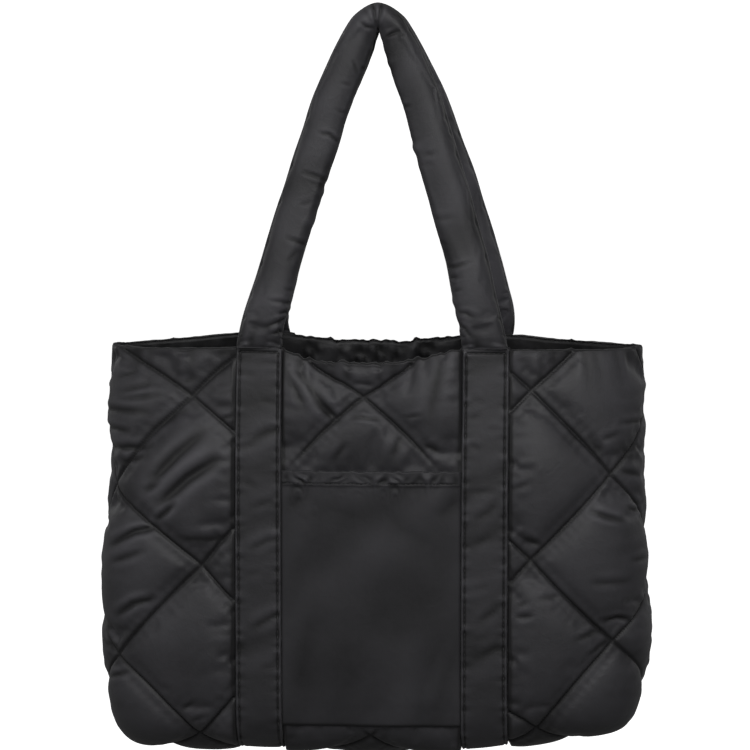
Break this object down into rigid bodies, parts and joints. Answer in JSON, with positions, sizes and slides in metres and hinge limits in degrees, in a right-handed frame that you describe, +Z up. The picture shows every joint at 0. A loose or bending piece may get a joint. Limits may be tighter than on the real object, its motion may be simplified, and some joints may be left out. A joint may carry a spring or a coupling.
{
  "type": "quilted tote bag",
  "caption": "Padded, diagonally quilted tote bag, hanging open from its two stuffed shoulder straps, with a slip pocket on the front.",
  "frame": {"origin": "the underside of the fold at the top of the strap loops, where a hook carries the bag", "axes": "+Z up, +X to the right as seen from the front, and -Y out of the front, which has the pocket"},
  "size_m": [0.4614, 0.1593, 0.6252],
  "materials": {
    "shell": "soft sheen",
    "band_cloth": "soft sheen",
    "pocket_cloth": "satin",
    "facing": "matt"
  },
  "bodies": {
    "root": {"front_panel": "shell", "back_panel": "shell", "mouth_facing": "facing", "front_pocket": "pocket_cloth", "front_strap": "shell", "back_strap": "shell", "front_left_band": "band_cloth", "front_right_band": "band_cloth", "back_left_band": "band_cloth", "back_right_band": "band_cloth"}
  },
  "joints": []
}
